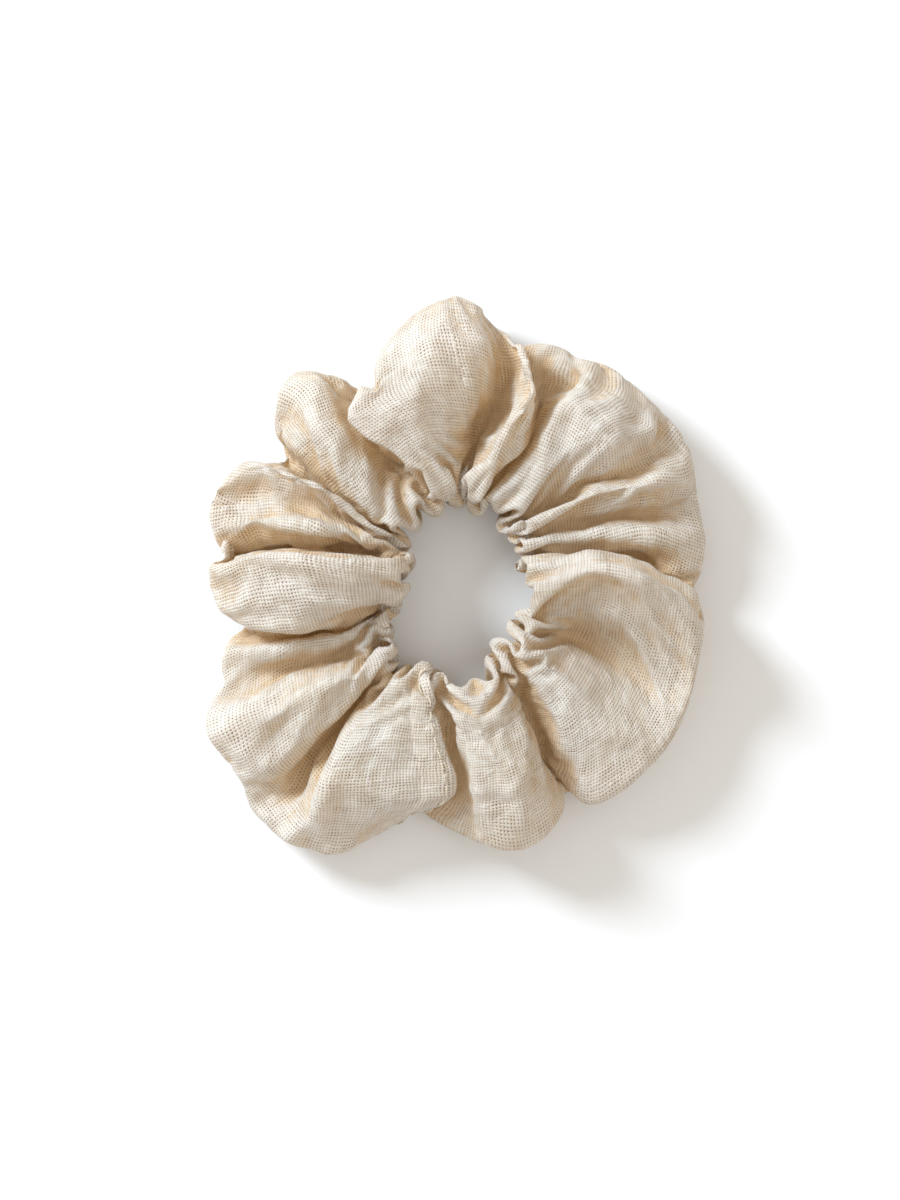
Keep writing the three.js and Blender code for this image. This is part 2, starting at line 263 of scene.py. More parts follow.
class Cloth:
    """A closed grid of points joined by bonds, in lists of bonds that can be solved at once."""

    def __init__(self, length_u, length_v, rising, falling):
        i, j = np.meshgrid(np.arange(NU), np.arange(NV), indexing="ij")
        self.bonds = []
        for di, dj, firm in BONDS:
            along = sum(np.roll(length_u, -k, 0) for k in range(di)) if di else 0 * length_u
            across = sum(np.roll(length_v, -k, 1) for k in range(abs(dj))) if dj else 0 * length_v
            rest = {(1, 1): rising, (1, -1): falling}.get((di, dj), np.hypot(along, across))
            turn = ((i if di else j) // max(di, abs(dj))) % 2
            for colour in (0, 1):
                here = (turn == colour).ravel()
                a = (i * NV + j).ravel()[here]
                b = ((i + di) % NU * NV + (j + dj) % NV).ravel()[here]
                bends = max(di, abs(dj)) > 1
                self.bonds.append((a, b, firm, bends, rest.ravel()[here].astype(np.float32)))

    def solve(self, points, ease_bending):
        for a, b, firm, bends, rest in self.bonds:
            if bends:
                firm = firm * ease_bending
            d = points[b] - points[a]
            length = np.sqrt((d * d).sum(1)) + 1e-9
            d *= (0.5 * firm * (1 - rest / length))[:, None]
            points[a] += d
            points[b] -= d


NEIGHBOURS = 2   # points this near in the cloth may come as near as they like
OVERSHOOT = 1.3  # points that push each other apart go a little further than they need


def close_pairs(points, reach):
    """Pairs of points nearer than reach that aren't neighbours in the cloth, found in cells that wide."""
    cell = np.floor(points / reach).astype(np.int64)
    cell -= cell.min(0) - 1
    n = cell.max(0) + 3
    key = (cell[:, 0] * n[1] + cell[:, 1]) * n[2] + cell[:, 2]
    order = np.argsort(key, kind="stable")
    key = key[order]
    steps = [(x, y, z) for x in (-1, 0, 1) for y in (-1, 0, 1) for z in (-1, 0, 1)]
    first, second = [], []
    for dx, dy, dz in [s for s in steps if s >= (0, 0, 0)]:
        want = key + ((dx * n[1] + dy) * n[2] + dz)
        low, high = np.searchsorted(key, want, "left"), np.searchsorted(key, want, "right")
        if (dx, dy, dz) == (0, 0, 0):
            low = np.arange(len(key)) + 1
        count = high - low
        found = np.nonzero(count > 0)[0]
        count = count[found]
        if not len(found):
            continue
        offset = np.arange(count.sum()) - np.repeat(np.cumsum(count) - count, count)
        first.append(order[np.repeat(found, count)])
        second.append(order[np.repeat(low[found], count) + offset])
    a, b = np.concatenate(first), np.concatenate(second)
    di, dj = np.abs(a // NV - b // NV), np.abs(a % NV - b % NV)
    apart = (np.minimum(di, NU - di) > NEIGHBOURS) | (np.minimum(dj, NV - dj) > NEIGHBOURS)
    a, b = a[apart], b[apart]
    d = points[a] - points[b]
    near = (d * d).sum(1) < reach * reach
    return a[near], b[near]


def push_apart(points, a, b):
    """Moves pairs of points that are too near each other apart."""
    d = points[a] - points[b]
    length = (d * d).sum(1)
    near = length < CLOTH_GAP**2
    if not near.any():
        return
    a, b, d, length = a[near], b[near], d[near], np.sqrt(length[near]) + 1e-6
    d *= (0.5 * (CLOTH_GAP / length - 1))[:, None]
    count = np.maximum(np.bincount(np.concatenate([a, b]), minlength=len(points)), 1)
    for k in range(3):
        moved = np.bincount(a, d[:, k], len(points)) - np.bincount(b, d[:, k], len(points))
        points[:, k] += (moved * OVERSHOOT / count).astype(points.dtype)


def blur_matrix(places, width, period=None):
    """The matrix that evens values at those places out, over a width in the same unit."""
    d = np.abs(places[:, None] - places[None])
    if period:
        d = np.minimum(d, period - d)
    k = np.exp(-0.5 * (d / width) ** 2)
    return (k / k.sum(1, keepdims=True)).astype(np.float32)


def blur(a, axis, width):
    """A closed grid of values, evened out over `width` points along one axis."""
    shape = [1, 1]
    shape[axis] = a.shape[axis]
    k = np.exp(-0.5 * (2 * np.pi * np.fft.fftfreq(a.shape[axis]) * width) ** 2).reshape(shape)
    return np.fft.ifft(np.fft.fft(a, axis=axis) * k, axis=axis).real


SMOOTH_FOLDS = {0: 0.7, 32.6: 0.5, 34: 0.4, 44.5: 0.6, 46.9: 0.4, 48.2: 0.5}  # and how creased they are
CREASE_HEIGHT = 1.15
ROOF = ELASTIC_Z + ELASTIC_WIDTH / 2 + 1.1  # how high the upper layer passes over the elastic
STEPS, SETTLE, ROUNDS = 140, 50, 8
# How full the cloth is round the ring, at shares of the way from the hole to the outline.
FULL_AT = [0, 0.12, 0.3, 0.5, 0.7, 0.85, 1]
FULL = [0.8, 0.76, 0.72, 0.88, 0.97, 0.985, 0.985]
TURNED_UNDER = 10  # rows beyond the outline over which the cloth's lengths ease back


def upper_layer():
    """The rows of the upper layer, where each of its points is led, and each row's share of the way."""
    u, v = np.arange(NU) * DU, np.arange(NV) * DV
    along, points = fold_lines()
    surface = led_surface(along, points, u)
    rows = np.nonzero((v > 0.07 * HALF) & (v <= HALF + 0.6 * DV))[0]
    share = v[rows] / HALF
    at = share * LAST_ROW
    low = np.minimum(at.astype(int), LAST_ROW - 1)
    t = np.minimum(at - low, 1.0)[:, None]
    led = (1 - t) * surface[:, low] + t * surface[:, low + 1]
    creased = np.array([SMOOTH_FOLDS.get(place, 1.0) for place, _ in FOLDS])
    at, base = along[:, CREASED_ROW], along[0, CREASED_ROW]
    creased = closed_spline(at - base, creased, CLOTH_LENGTH, (u - base) % CLOTH_LENGTH)
    height = creases(np.random.default_rng(CREASE_SEED))[:, rows]
    height = height * ease((share - 0.2) / 0.2) * creased[:, None]
    normal = np.cross(np.roll(led, -1, 0) - np.roll(led, 1, 0), np.gradient(led, axis=1))
    normal /= np.linalg.norm(normal, axis=-1, keepdims=True) + 1e-9
    normal *= np.sign(normal[..., 2].mean())
    led = led + CREASE_HEIGHT * height[..., None] * normal
    # it passes over the elastic, even in the valleys
    outside = np.hypot(led[..., 0], led[..., 1]) - ring_reach(np.arctan2(led[..., 1], led[..., 0]))
    near = ease((outside + 3.0) / 2) * ease((5.5 - outside) / 2.5)
    led[..., 2] += near * np.maximum(ROOF - led[..., 2], 0)
    return along, points, rows, share, led


def cut_lengths(rows, share, led):
    """The cloth's lengths between neighbouring points, both ways and on both diagonals: it is cut to
    fit the folds."""
    v = np.arange(NV) * DV
    way = np.minimum(v, CLOTH_GIRTH - v) / HALF
    length_u = np.repeat((DU * np.interp(way, FULL_AT, FULL))[None], NU, 0)
    length_v = np.full((NU, NV), DV)
    fit_u = np.clip(np.linalg.norm(np.roll(led, -1, 0) - led, axis=-1), 0.4 * DU, 1.6 * DU)
    fit_v = np.clip(np.linalg.norm(np.diff(led, axis=1), axis=-1), 0.6 * DV, 1.4 * DV)
    w = ease((share - 0.25) / 0.25)
    length_u[:, rows] = (1 - w) * length_u[:, rows] + w * fit_u
    length_v[:, rows[:-1]] = ((1 - w) * DV)[:-1] + w[:-1] * fit_v
    last = rows[-1]
    for m in range(1, TURNED_UNDER):
        length_u[:, last + m] = (length_u[:, last] * (1 - m / TURNED_UNDER)
                                 + length_u[:, last + m] * m / TURNED_UNDER)
    length_u, length_v = (blur(blur(a, 0, 0.8), 1, 0.8) for a in (length_u, length_v))
    rising = np.hypot(length_u, length_v)
    falling = rising.copy()
    beyond = np.roll(led, -1, 0)
    w = w[:-1]
    fit = np.clip(np.linalg.norm(beyond[:, 1:] - led[:, :-1], axis=-1), 0.5 * DU, 2.4 * DU)
    rising[:, rows[:-1]] = (1 - w) * rising[:, rows[:-1]] + w * fit
    fit = np.clip(np.linalg.norm(beyond[:, :-1] - led[:, 1:], axis=-1), 0.5 * DU, 2.4 * DU)
    falling[:, rows[1:]] = (1 - w) * falling[:, rows[1:]] + w * fit
    return length_u, length_v, rising, falling


def start_angles(along, points):
    """The angle round the ring at which each column of the cloth meets the elastic."""
    u = np.arange(NU) * DU
    even = FIRST_ANGLE + 2 * np.pi * u / CLOTH_LENGTH
    at = along[:, GATHERED_ROW]
    first = np.array([line[0][1:3] for _, line in FOLDS], float)
    angle = np.arctan2(first[:, 1], first[:, 0])
    off = (angle - (FIRST_ANGLE + 2 * np.pi * at / CLOTH_LENGTH) + np.pi) % (2 * np.pi) - np.pi
    off = closed_spline(at - at[0], off, CLOTH_LENGTH, (u - at[0]) % CLOTH_LENGTH)
    keep = np.exp(-0.5 * (np.fft.fftfreq(NU, 1 / NU) / 5.0) ** 2)
    return even + np.fft.ifft(np.fft.fft(off) * keep).real


WIDE_RING, WIDE_TUBE = CLOTH_LENGTH / 2 / np.pi, CLOTH_GIRTH / 2 / np.pi
ELASTIC_CLEAR, ELASTIC_ROOM = 0.7, 2.3  # above and below the elastic, and from its inside outwards


def wide_ring(angles):
    """The tube before it is gathered: an even ring with slight waves where the elastic will draw it."""
    rng = np.random.default_rng(WAVE_SEED)
    u, phi = np.arange(NU) * DU, 2 * np.pi * np.arange(NV) / NV
    ring, tube = WIDE_RING, WIDE_TUBE
    turn = 2 * np.pi * u / CLOTH_LENGTH
    waves = 0.5 * np.cos(34 * turn + 0.8 * np.sin(7 * turn + 1.0))[:, None] * np.clip(np.cos(phi), 0, 1)
    keep = np.exp(-0.5 * ((np.fft.fftfreq(NU, 1 / NU)[:, None] / 26) ** 2
                          + (np.fft.fftfreq(NV, 1 / NV)[None] / 3) ** 2))
    noise = np.fft.ifft2(np.fft.fft2(rng.normal(size=(NU, NV))) * keep).real
    waves = waves + 0.35 * noise / noise.std()
    radius = ring - (tube + waves) * np.cos(phi)
    z = tube + (tube + waves) * np.sin(phi)
    theta = angles[:, None]
    return np.stack([radius * np.cos(theta), radius * np.sin(theta), z], -1).astype(np.float32)


def off_elastic(points, beside, above, reach):
    """Keeps cloth out of the elastic: over it, under it, or inside the ring, whichever is nearest."""
    radius = np.hypot(points[beside, 0], points[beside, 1])
    z = points[beside, 2]
    half = ELASTIC_WIDTH / 2
    over = np.where(above, ELASTIC_Z + half + ELASTIC_CLEAR - z, z - ELASTIC_Z + half + ELASTIC_CLEAR)
    inwards, outwards = radius - reach, reach + ELASTIC_ROOM - radius
    hit = (inwards > 0) & (outwards > 0) & (over > 0)
    if not hit.any():
        return
    lift = hit & (over < 2 * np.minimum(inwards, outwards))
    slide = hit & ~lift
    points[beside[lift], 2] += (np.where(above, 0.5, -0.5) * over)[lift].astype(np.float32)
    move = np.where(inwards < outwards, -inwards, outwards)[slide] * 0.5 / radius[slide]
    points[beside[slide], :2] *= (1 + move)[:, None].astype(np.float32)


ON_ELASTIC, NEAR_ELASTIC = 3.4, 17  # mm from the tube's inner middle, round the tube
TOP_SPEED, KEPT_SPEED, FALL = 0.6, 0.88, 0.010  # mm in a step, the share kept, and mm more in each step
CLOSE_FROM = 0.85  # the share of the steps after which the upper layer is led closely


def gathered():
    """The cloth's points after the elastic has drawn it in, in mm from the hole's centre."""
    along, fold_points, rows, share, led = upper_layer()
    cloth = Cloth(*cut_lengths(rows, share, led))
    angles = start_angles(along, fold_points)
    limit = outline_reach()
    start = wide_ring(angles)
    from_, to = start[:, rows].copy(), led.astype(np.float32)
    points = start.reshape(-1, 3)
    before = points.copy()
    upper = (np.arange(NU)[:, None] * NV + rows).ravel()
    column, row = np.repeat(np.arange(NU), NV), np.tile(np.arange(NV), NU)
    v = np.where(row * DV > HALF, row * DV - CLOTH_GIRTH, row * DV)
    band = np.nonzero(np.abs(v) <= ON_ELASTIC)[0]
    beside = np.nonzero((np.abs(v) > ON_ELASTIC) & (np.abs(v) < NEAR_ELASTIC))[0]  # isn't to lie in it
    above = v[beside] > 0
    fine, broad = (blur_matrix(np.arange(NU) * DU, width, CLOTH_LENGTH) for width in (1.7, 5.0))
    across = blur_matrix(rows * DV, 2.0)
    outer = ease((share - 0.15) / 0.35)[None, :, None].astype(np.float32)
    push = np.clip((share - 0.05) / 0.2, 0.2, 1)[None, :, None].astype(np.float32)
    tight = ease((share - 0.22) / 0.3)[None, :, None].astype(np.float32)
    wide = WIDE_RING - WIDE_TUBE + 1.5
    for n in range(STEPS + SETTLE):
        drawn = min(1, (n + 1) / STEPS)
        speed = (points - before) * KEPT_SPEED
        before = points.copy()
        speed *= np.minimum(1, TOP_SPEED / (np.sqrt((speed * speed).sum(1)) + 1e-9))[:, None]
        points = points + speed
        points[:, 2] -= FALL
        # the upper layer is led, broadly at first and closely at the end
        fade = max(0.0, 1 - (n - STEPS) / (0.4 * SETTLE))
        lead = 0.6 * min(1, (n + 5) / 40) if n < STEPS else 0.3 + 0.3 * fade
        close = min(1, max(0, (n - CLOSE_FROM * STEPS) / (0.15 * STEPS + 0.3 * SETTLE)))
        gap = from_ + (to - from_) * ease(drawn) - points[upper].reshape(from_.shape)
        eased = np.einsum("jk,ikc->ijc", across, gap, optimize=True).reshape(NU, -1)
        eased = outer * (fine @ eased).reshape(gap.shape) + (1 - outer) * (broad @ eased).reshape(gap.shape)
        firm = close * (0.65 if n < STEPS + SETTLE - 8 else 0.35)
        led_by = lead * push * eased + firm * tight * (gap - eased)
        points[upper] += led_by.reshape(-1, 3).astype(np.float32)
        a, b = close_pairs(points, CLOTH_GAP + 0.5)
        theta = np.arctan2(points[band, 1], points[band, 0])
        reach = wide + (ring_reach(theta) - wide) * drawn**0.9
        theta_beside = np.arctan2(points[beside, 1], points[beside, 0])
        reach_beside = wide + (ring_reach(theta_beside) - wide) * drawn**0.9
        for k in range(ROUNDS):
            cloth.solve(points, 1 - 0.75 * close)
            if k % 2 == 1:
                push_apart(points, a, b)
            radius = np.hypot(points[band, 0], points[band, 1])
            over = np.maximum(radius - reach, 0)
            points[band, :2] *= (1 - 0.9 * over / radius)[:, None].astype(np.float32)
            if drawn > 0.3 and k % 2 == 1:
                off_elastic(points, beside, above, reach_beside)
            np.maximum(points[:, 2], 0.0, out=points[:, 2])
        if drawn > 0.4:
            slot = np.degrees(np.arctan2(points[:, 1], points[:, 0])) % 360 * 2
            low = np.minimum(slot.astype(int), 719)
            t = slot - low
            most = limit[low] * (1 - t) + limit[low + 1] * t + (1 - drawn) * 12
            radius = np.hypot(points[:, 0], points[:, 1])
            over = np.maximum(radius - most, 0)
            points[:, :2] *= (1 - 0.6 * over / radius)[:, None].astype(np.float32)
        # the band of cloth on the elastic keeps its height and its place round the ring
        points[band, 2] += (0.15 * (ELASTIC_Z + v[band] - points[band, 2])).astype(np.float32)
        d = (angles[column[band]] - theta + np.pi) % (2 * np.pi) - np.pi
        arc = d * np.hypot(points[band, 0], points[band, 1])
        arc = np.sign(arc) * np.maximum(np.abs(arc) - 0.8, 0) * 0.12
        points[band, 0] += (-np.sin(theta) * arc).astype(np.float32)
        points[band, 1] += (np.cos(theta) * arc).astype(np.float32)
    return points.reshape(NU, NV, 3).astype(float)


# ---- from the solver's points to a fine surface ----
def refined(a, axis, k):
    """k times the points along an axis of a closed grid, on a curve halfway between the spline that
    smooths the points and the one that passes through them."""
    out = []
    for t in np.arange(k) / k:
        smooth = ((1 - t) ** 3 / 6, (3 * t**3 - 6 * t**2 + 4) / 6,
                  (-3 * t**3 + 3 * t**2 + 3 * t + 1) / 6, t**3 / 6)
        through = (-t / 2 + t**2 - t**3 / 2, 1 - 2.5 * t**2 + 1.5 * t**3, t / 2 + 2 * t**2 - 1.5 * t**3,
                   (t**3 - t**2) / 2)
        out.append(sum((p + q) / 2 * np.roll(a, -o, axis) for p, q, o in zip(smooth, through, (-1, 0, 1, 2))))
    stacked = np.stack(out, axis + 1)
    shape = list(a.shape)
    shape[axis] *= k
    return stacked.reshape(shape)


def hollows(points, cell=1.0, reach=7, directions=12):
    """How deep each point lies between the folds around it: 0 in the open, towards 1 shut in."""
    at = np.floor(points[..., :2] / cell).astype(int)
    at -= at.reshape(-1, 2).min(0) - reach - 1
    top = np.zeros(at.reshape(-1, 2).max(0) + reach + 2)
    np.maximum.at(top, (at[..., 0].ravel(), at[..., 1].ravel()), points[..., 2].ravel())
    total = np.zeros(points.shape[:2])
    for k in range(directions):
        a = 2 * math.pi * k / directions
        steepest = np.zeros(points.shape[:2])
        for d in range(1, reach + 1):
            dx, dy = int(round(d * math.cos(a))), int(round(d * math.sin(a)))
            rise = top[at[..., 0] + dx, at[..., 1] + dy] - points[..., 2]
            steepest = np.maximum(steepest, rise / (math.hypot(dx, dy) * cell))
        total += np.sin(np.arctan(steepest))
    return total / directions


SEAM_FOLD = 34                # the closing seam lies along the fold line at this place
SEAM_LIFT, LIFTED = 1.35, 9   # its thickness holds the cloth beside it off the table, this far
shape = gathered()
shape[..., 0] += RING_CENTRE[0]
shape[..., 1] += RING_CENTRE[1]
SURFACE = refined(refined(shape, 0, REFINE), 1, REFINE)
FINE_U, FINE_V = SURFACE.shape[:2]
seam_fold = [place for place, _ in FOLDS].index(SEAM_FOLD)
seam_rows = np.interp(np.linspace(0, 1, 60), ROWS, fold_lines()[0][seam_fold])


def seam_u(v):
    """Where the closing seam lies along the cloth, at v round the tube."""
    way = np.minimum(v % CLOTH_GIRTH, CLOTH_GIRTH - v % CLOTH_GIRTH) / HALF
    return np.interp(way, np.linspace(0, 1, 60), seam_rows)


off = np.arange(FINE_U)[:, None] / FINE_U * CLOTH_LENGTH - seam_u(np.arange(FINE_V) / FINE_V * CLOTH_GIRTH)
off = (off + CLOTH_LENGTH / 2) % CLOTH_LENGTH - CLOTH_LENGTH / 2
SURFACE[..., 2] = np.maximum(SURFACE[..., 2], 0)
SURFACE[..., 2] += SEAM_LIFT * np.exp(-(off / LIFTED) ** 2) * np.clip(1 - SURFACE[..., 2] / 5, 0, 1)
NORMALS = np.cross(np.roll(SURFACE, -1, 1) - np.roll(SURFACE, 1, 1),
                   np.roll(SURFACE, -1, 0) - np.roll(SURFACE, 1, 0))
NORMALS /= np.linalg.norm(NORMALS, axis=-1, keepdims=True) + 1e-12
if NORMALS[:, FINE_V // 4, 2].mean() < 0:
    NORMALS = -NORMALS
# painted shade mask: how shut in each point lies between the folds, less where the cloth faces sideways or
# down
FOLD_SHADE_MASK = hollows(SURFACE) * np.clip(0.3 + 1.5 * NORMALS[..., 2], 0, 1)


def on_cloth(field, u, v):
    """The value of a field of the fine grid at places u, v along the cloth, in mm."""
    x, y = u / CLOTH_LENGTH * FINE_U, v / CLOTH_GIRTH * FINE_V
    i, j = np.floor(x).astype(int), np.floor(y).astype(int)
    s, t = x - i, y - j
    if field.ndim > 2:
        s, t = s[..., None], t[..., None]
    get = lambda a, b: field[(i + a) % FINE_U, (j + b) % FINE_V]
    return (get(0, 0) * (1 - s) + get(1, 0) * s) * (1 - t) + (get(0, 1) * (1 - s) + get(1, 1) * s) * t


# ---- materials ----
class Nodes:
    """Builds a material's maths as expressions."""

    def __init__(self, name):
        self.material = bpy.data.materials.new(name)
        self.material.use_nodes = True
        self.tree = self.material.node_tree
        self.tree.nodes.clear()

    def new(self, kind, **settings):
        node = self.tree.nodes.new(kind)
        for key, value in settings.items():
            setattr(node, key, value)
        return node

    def put(self, socket, value):
        if isinstance(value, bpy.types.NodeSocket):
            self.tree.links.new(value, socket)
        else:
            socket.default_value = value

    def math(self, operation, *values):
        node = self.new("ShaderNodeMath", operation=operation)
        for socket, value in zip(node.inputs, values):
            self.put(socket, value)
        return node.outputs[0]

    def peak(self, value):
        """1 in the middle of each unit, and 0 at its ends."""
        return self.math("SUBTRACT", 1.0, self.math("ABSOLUTE", self.math("MULTIPLY_ADD", value, 2.0, -1.0)))

    def noise(self, at, scale, detail=2.0, rough=0.5, distortion=0.0):
        node = self.new("ShaderNodeTexNoise")
        for name, value in (("Vector", at), ("Scale", scale), ("Detail", detail), ("Roughness", rough),
                            ("Distortion", distortion)):
            self.put(node.inputs[name], value)
        return node.outputs["Fac"]

    def xyz(self, x, y, z=0.0):
        node = self.new("ShaderNodeCombineXYZ")
        for socket, value in zip(node.inputs, (x, y, z)):
            self.put(socket, value)
        return node.outputs[0]

    def ramp(self, value, low, high, a=0.0, b=1.0, kind="SMOOTHSTEP"):
        node = self.new("ShaderNodeMapRange", interpolation_type=kind)
        for socket, given in zip(node.inputs, (value, low, high, a, b)):
            self.put(socket, given)
        return node.outputs["Result"]

    def mix(self, share, a, b):
        node = self.new("ShaderNodeMix", data_type="RGBA")
        for k, value in ((0, share), (6, a), (7, b)):
            self.put(node.inputs[k], value)
        return node.outputs[2]

    def place(self):
        """Where a point lies on the flat cloth, in mm along and across."""
        split = self.new("ShaderNodeSeparateXYZ")
        self.put(split.inputs[0], self.new("ShaderNodeUVMap", uv_map="cloth").outputs[0])
        return tuple(self.math("MULTIPLY", split.outputs[k], 1000.0) for k in (0, 1))

    def bump(self, height, distance, strength, under=None):
        node = self.new("ShaderNodeBump")
        node.inputs["Distance"].default_value = distance
        node.inputs["Strength"].default_value = strength
        self.put(node.inputs["Height"], height)
        if under is not None:
            self.put(node.inputs["Normal"], under)
        return node.outputs[0]

    def surface(self, colour, roughness, normal, specular=0.18, sheen=0.0):
        node = self.new("ShaderNodeBsdfPrincipled")
        self.put(node.inputs["Base Color"], colour)
        self.put(node.inputs["Roughness"], roughness)
        self.put(node.inputs["Normal"], normal)
        node.inputs["Specular IOR Level"].default_value = specular
        node.inputs["Sheen Weight"].default_value = sheen
        node.inputs["Sheen Roughness"].default_value = 0.6
        return node.outputs[0]

    def finish(self, shader):
        self.put(self.new("ShaderNodeOutputMaterial").inputs["Surface"], shader)
        return self.material


def srgb(r, g, b):
    """A colour given as it looks on a screen, as the linear one that a shader takes."""
    linear = [c / 12.92 if c <= 0.04045 else ((c + 0.055) / 1.055) ** 2.4
              for c in (r / 255, g / 255, b / 255)]
    return (*linear, 1.0)


WEAVE_U, WEAVE_V = 0.70, 0.72  # mm between neighbouring threads
THREAD, THREAD_WARM, THREAD_PALE = srgb(244, 242, 236), srgb(238, 233, 221), srgb(253, 253, 250)
THREAD_PAINTED_SHADE = srgb(236, 196, 134)  # painted shade: the warm colour of threads deep in the folds, standing in for light that has gone through other cloth
# painted shade: the dark brown of the shaded inside of the tube, seen through the gaps of the weave
WEAVE_GAP_SHADE = srgb(112, 72, 34)
GLOW, GLOW_HOLE = srgb(240, 212, 160), srgb(214, 150, 70)


def cotton():
    """Plain weave of slubby threads, slightly see-through, its gaps painted dark brown as painted shade of
    the tube's inside, and threads deep in the folds painted a warm shade.
    """
    s = Nodes("cotton")
    um, vm = s.place()
    mm = s.xyz(um, vm)
    sway_u = s.math("MULTIPLY", s.math("SUBTRACT", s.noise(mm, 0.16), 0.5), 1.6)
    sway_v = s.math("MULTIPLY", s.math("SUBTRACT", s.noise(s.xyz(vm, um, 5.0), 0.16), 0.5), 1.4)
    u = s.math("ADD", s.math("DIVIDE", um, WEAVE_U), sway_u)
    v = s.math("ADD", s.math("DIVIDE", vm, WEAVE_V), sway_v)
    i, j = s.math("FLOOR", u), s.math("FLOOR", v)
    a = s.math("MULTIPLY_ADD", s.math("FRACT", u), 2.0, -1.0)
    b = s.math("MULTIPLY_ADD", s.math("FRACT", v), 2.0, -1.0)
    # each thread has its own thickness, with slubs along it
    slub_a = s.noise(s.xyz(s.math("MULTIPLY", i, 3.7), s.math("MULTIPLY", vm, 0.16)), 1.0)
    slub_b = s.noise(s.xyz(s.math("MULTIPLY", um, 0.16), s.math("MULTIPLY", j, 3.7), 9.0), 1.0)
    square = lambda x: s.math("MULTIPLY", x, x)
    def profile(across, slub):
        wide = s.ramp(slub, 0.25, 0.75, 0.70, 1.02, "LINEAR")
        return s.math("MAXIMUM", s.math("SUBTRACT", 1.0, square(s.math("DIVIDE", across, wide))), 0.0)
    over = s.math("MULTIPLY_ADD", s.math("FLOORED_MODULO", s.math("ADD", i, j), 2.0), 2.0, -1.0)
    crown_a, crown_b = s.math("SUBTRACT", 1.0, square(a)), s.math("SUBTRACT", 1.0, square(b))
    rise_a = s.math("MULTIPLY_ADD", s.math("MULTIPLY", over, crown_b), 0.30, 0.70)
    rise_b = s.math("MULTIPLY_ADD", s.math("MULTIPLY", over, crown_a), -0.30, 0.70)
    height = s.math("MAXIMUM", s.math("MULTIPLY", profile(a, slub_a), rise_a),
                    s.math("MULTIPLY", profile(b, slub_b), rise_b))
    # the threads leave a hole at each crossing's corner, and more where the weave is loose
    loose = s.ramp(s.noise(mm, 0.35), 0.35, 0.68, 0.10, -0.14, "LINEAR")
    solid = s.ramp(s.math("ADD", height, loose), 0.06, 0.38)
    thick = s.math("MULTIPLY", s.math("ADD", slub_a, slub_b), 0.5)
    thread = s.mix(s.ramp(s.noise(mm, 0.05, 3), 0.35, 0.65), THREAD, THREAD_WARM)
    thread = s.mix(s.ramp(thick, 0.42, 0.72), thread, THREAD_PALE)
    # painted shade: threads deep in the folds are mixed towards a warm shade colour
    fold = s.new("ShaderNodeAttribute", attribute_name="painted_fold_shade").outputs["Fac"]
    thread = s.mix(s.ramp(fold, 0.30, 0.72, 0.0, 0.62), thread, THREAD_PAINTED_SHADE)
    fuzz = s.noise(mm, 7.0, 3, 0.7)
    creased = s.bump(s.noise(mm, 0.13, 4, 0.55, 0.8), 0.0022, 0.7)
    woven = s.bump(s.math("MULTIPLY_ADD", fuzz, 0.25, height), 0.00025, 0.8, creased)
    rough = s.ramp(fuzz, 0.3, 0.7, 0.84, 0.97, "LINEAR")
    # painted shade in the gaps between threads
    front = s.surface(s.mix(solid, WEAVE_GAP_SHADE, thread), rough, woven, sheen=0.1)
    through = s.new("ShaderNodeBsdfTranslucent")
    s.put(through.inputs["Color"], s.mix(solid, GLOW_HOLE, GLOW))
    s.put(through.inputs["Normal"], creased)
    both = s.new("ShaderNodeMixShader")
    both.inputs[0].default_value = 0.32
    s.put(both.inputs[1], front)
    s.put(both.inputs[2], through.outputs[0])
    return s.finish(both.outputs[0])


def braid():
    """Flat braided elastic: slanting ribs that meet in rows of chevrons, over rubber cores."""
    s = Nodes("elastic_braid")
    um, vm = s.place()
    row = s.math("DIVIDE", vm, 0.75)
    lean = s.math("PINGPONG", row, 1.0)
    rib = s.math("FRACT", s.math("ADD", s.math("DIVIDE", um, 0.55), lean))
    height = s.math("MULTIPLY_ADD", s.peak(s.math("FRACT", row)), 0.6, s.math("MULTIPLY", s.peak(rib), 0.5))
    worn = s.noise(s.xyz(um, vm), 0.4, 3)
    # painted shade: the braid is darker down between its ribs and rows, paler on their crowns
    colour = s.mix(s.ramp(height, 0.1, 0.7), srgb(196, 190, 178), srgb(243, 240, 233))
    colour = s.mix(s.ramp(worn, 0.45, 0.8, 0.0, 0.5), colour, srgb(226, 218, 202))
    normal = s.bump(s.math("MULTIPLY_ADD", s.noise(s.xyz(um, vm), 6.0, 2), 0.2, height), 0.0003, 0.9)
    return s.finish(s.surface(colour, s.ramp(worn, 0.3, 0.7, 0.62, 0.85), normal, 0.3))


def twisted(name, ply_gap_shade, pale):
    """Sewing thread of three twisted plies, with loose fibres."""
    s = Nodes(name)
    um, vm = s.place()
    ply = s.math("FRACT", s.math("ADD", s.math("DIVIDE", um, 0.9), s.math("DIVIDE", vm, 0.42)))
    crown = s.peak(ply)
    fibre = s.noise(s.xyz(um, s.math("MULTIPLY", vm, 4.0)), 5.0, 3, 0.7)
    # painted shade: the thread is darker in the grooves between its plies, paler on their crowns
    colour = s.mix(s.ramp(crown, 0.05, 0.6), ply_gap_shade, pale)
    colour = s.mix(s.ramp(fibre, 0.5, 0.8, 0.0, 0.4), colour, THREAD_PALE)
    normal = s.bump(s.math("MULTIPLY_ADD", fibre, 0.3, crown), 0.00012, 0.9)
    return s.finish(s.surface(colour, s.ramp(fibre, 0.3, 0.7, 0.55, 0.8), normal, 0.3, 0.15))


COTTON, BRAID = cotton(), braid()
SEWING = twisted("sewing_thread", srgb(206, 188, 156), srgb(240, 230, 210))


